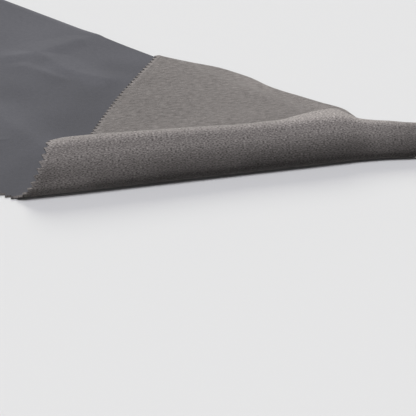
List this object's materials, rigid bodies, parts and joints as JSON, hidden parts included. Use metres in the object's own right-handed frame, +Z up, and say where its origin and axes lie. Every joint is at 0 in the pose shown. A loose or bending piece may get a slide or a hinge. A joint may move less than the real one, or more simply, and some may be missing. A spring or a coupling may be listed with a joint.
{
  "type": "piano keyboard cover",
  "caption": "Flat cloth keyboard cover with pinked edges, its right front corner turned back so that the fleecy side shows and the fold stands up as a long soft roll.",
  "frame": {"origin": "centre of the bounding box at the underside of the lying cloth", "axes": "+X along the cloth's length to the right, towards the turned corner; +Y from the front edge to the back edge; +Z up"},
  "size_m": [1.2086, 0.343, 0.047],
  "materials": {
    "fleece_cloth": "matte, smooth dark grey face and short taupe fleece on the other face"
  },
  "bodies": {
    "root": {"cover_cloth": "fleece_cloth"}
  },
  "joints": []
}
